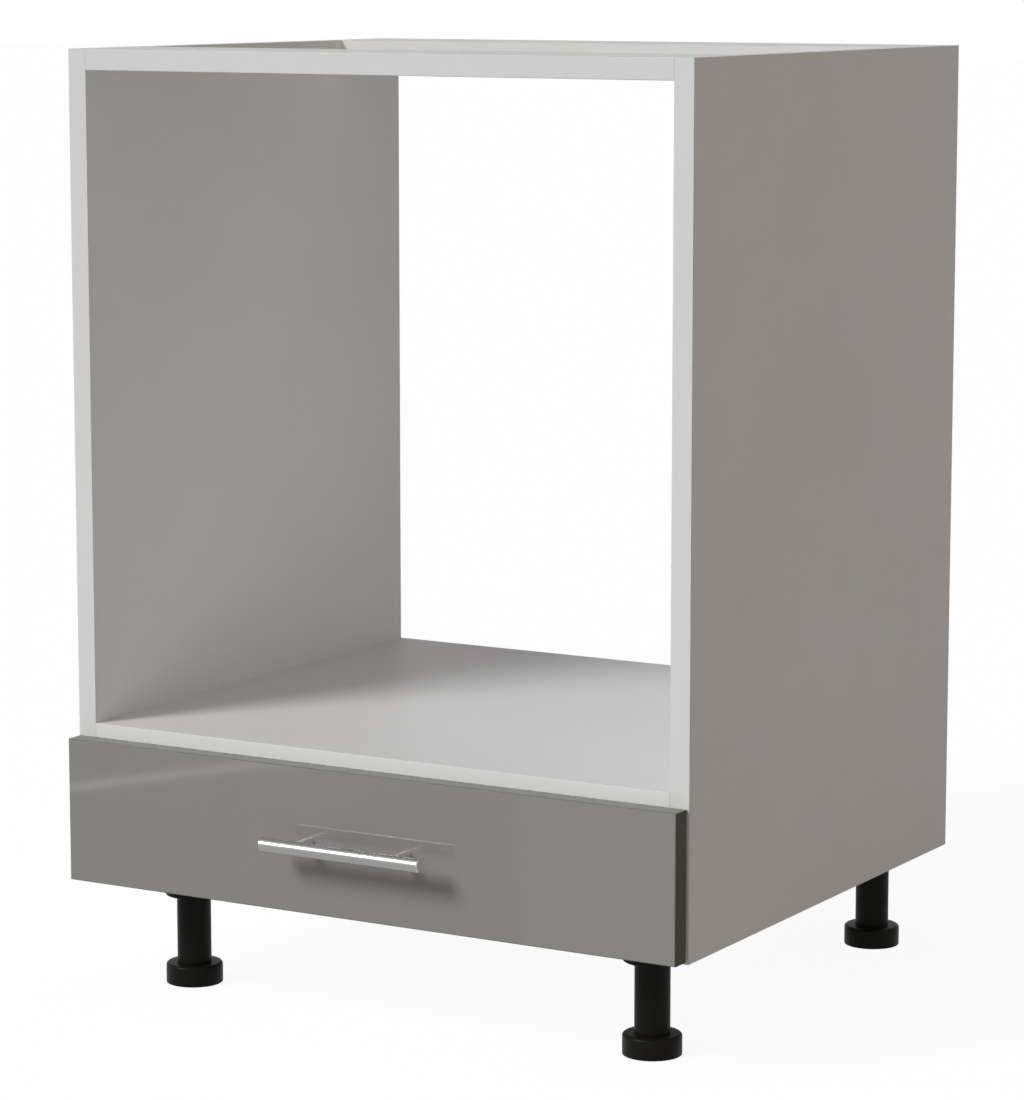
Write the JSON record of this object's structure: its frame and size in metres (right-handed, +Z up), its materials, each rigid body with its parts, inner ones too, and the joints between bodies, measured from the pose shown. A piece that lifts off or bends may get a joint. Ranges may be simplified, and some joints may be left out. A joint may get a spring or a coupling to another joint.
{
  "type": "oven base cabinet",
  "caption": "Open white kitchen base cabinet on adjustable legs, with a shelf for a built-in oven and a shallow grey gloss drawer on roller runners, pulled by a steel bar handle.",
  "frame": {"origin": "on the floor, below the middle of the whole cabinet", "axes": "+X to the right seen from the front, +Y to the back, +Z up"},
  "size_m": [0.6, 0.574, 0.82],
  "materials": {
    "white_melamine": "white melamine faced chipboard, fine satin pearl texture",
    "white_edge_band": "white edge band, satin",
    "gloss_grey_front": "warm grey high-gloss lacquered fibreboard",
    "white_drawer_board": "white foil faced chipboard, satin",
    "white_hardboard": "white lacquered hardboard, satin",
    "brushed_steel_handle": "fine brushed stainless steel",
    "black_leg_plastic": "black moulded plastic, satin",
    "white_runner_steel": "white powder-coated sheet steel",
    "white_roller_nylon": "white nylon, satin",
    "bright_steel": "bright steel",
    "zinc_cam": "die-cast zinc, matt",
    "zinc_screw": "zinc-plated steel",
    "beech_dowel": "fluted beech",
    "clear_bumper": "milky soft polymer"
  },
  "bodies": {
    "carcass": {"side_panel_left": "white_melamine", "side_panel_right": "white_melamine", "bottom_panel": "white_melamine", "oven_shelf": "white_melamine", "top_rail_front": "white_melamine", "top_rail_rear": "white_melamine", "edge_band_left": "white_edge_band", "edge_band_right": "white_edge_band", "edge_band_bottom": "white_edge_band", "edge_band_shelf": "white_edge_band", "edge_band_rail": "white_edge_band", "leg_socket_front_left": "black_leg_plastic", "leg_socket_front_right": "black_leg_plastic", "leg_socket_rear_left": "black_leg_plastic", "leg_socket_rear_right": "black_leg_plastic", "leg_tube_front_left": "black_leg_plastic", "leg_tube_front_right": "black_leg_plastic", "leg_tube_rear_left": "black_leg_plastic", "leg_tube_rear_right": "black_leg_plastic", "cabinet_runner_left": "white_runner_steel", "cabinet_runner_right": "white_runner_steel", "front_roller_pins": "bright_steel", "cam_bolts": "bright_steel", "cam_locks": "zinc_cam", "leg_screws": "zinc_screw", "cabinet_runner_screws": "zinc_screw", "dowels": "beech_dowel", "front_bumpers": "clear_bumper"},
    "drawer": {"drawer_front": "gloss_grey_front", "drawer_bottom": "white_hardboard", "drawer_runner_left": "white_runner_steel", "drawer_runner_right": "white_runner_steel", "rear_roller_pins": "bright_steel", "drawer_runner_screws": "zinc_screw", "drawer_bottom_screws": "zinc_screw", "drawer_cam_locks": "zinc_cam", "drawer_cam_bolts": "bright_steel", "drawer_dowels": "beech_dowel", "drawer_back_screws": "zinc_screw", "handle_screws": "bright_steel", "drawer_side_left": "white_drawer_board", "drawer_side_right": "white_drawer_board", "drawer_back": "white_drawer_board", "handle_bar": "brushed_steel_handle", "handle_post_left": "brushed_steel_handle", "handle_post_right": "brushed_steel_handle"},
    "front_roller_left": {"front_roller_left": "white_roller_nylon"},
    "front_roller_right": {"front_roller_right": "white_roller_nylon"},
    "rear_roller_left": {"rear_roller_left": "white_roller_nylon"},
    "rear_roller_right": {"rear_roller_right": "white_roller_nylon"},
    "foot_front_left": {"foot_front_left": "black_leg_plastic"},
    "foot_front_right": {"foot_front_right": "black_leg_plastic"},
    "foot_rear_left": {"foot_rear_left": "black_leg_plastic"},
    "foot_rear_right": {"foot_rear_right": "black_leg_plastic"}
  },
  "joints": [
    {"name": "drawer_slide", "type": "slide", "parent": "carcass", "child": "drawer", "axis": [0, -1, 0], "range_m": [0, 0.34]},
    {"name": "front_roller_left_spin", "type": "hinge", "parent": "carcass", "child": "front_roller_left", "pos_m": [-0.2763, -0.207, 0.1394], "axis": [1, 0, 0], "continuous": true},
    {"name": "rear_roller_left_spin", "type": "hinge", "parent": "drawer", "child": "rear_roller_left", "pos_m": [-0.2763, 0.2, 0.1365], "axis": [1, 0, 0], "continuous": true},
    {"name": "front_roller_right_spin", "type": "hinge", "parent": "carcass", "child": "front_roller_right", "pos_m": [0.2763, -0.207, 0.1394], "axis": [1, 0, 0], "continuous": true},
    {"name": "rear_roller_right_spin", "type": "hinge", "parent": "drawer", "child": "rear_roller_right", "pos_m": [0.2763, 0.2, 0.1365], "axis": [1, 0, 0], "continuous": true},
    {"name": "foot_front_left_height", "type": "slide", "parent": "carcass", "child": "foot_front_left", "axis": [0, 0, -1], "range_m": [0, 0.03]},
    {"name": "foot_front_right_height", "type": "slide", "parent": "carcass", "child": "foot_front_right", "axis": [0, 0, -1], "range_m": [0, 0.03]},
    {"name": "foot_rear_left_height", "type": "slide", "parent": "carcass", "child": "foot_rear_left", "axis": [0, 0, -1], "range_m": [0, 0.03]},
    {"name": "foot_rear_right_height", "type": "slide", "parent": "carcass", "child": "foot_rear_right", "axis": [0, 0, -1], "range_m": [0, 0.03]}
  ],
  "couplings": [
    {"joint": "front_roller_left_spin", "follows": "drawer_slide", "rad_per_m": 90.909},
    {"joint": "rear_roller_left_spin", "follows": "drawer_slide", "rad_per_m": 90.909},
    {"joint": "front_roller_right_spin", "follows": "drawer_slide", "rad_per_m": 90.909},
    {"joint": "rear_roller_right_spin", "follows": "drawer_slide", "rad_per_m": 90.909}
  ]
}
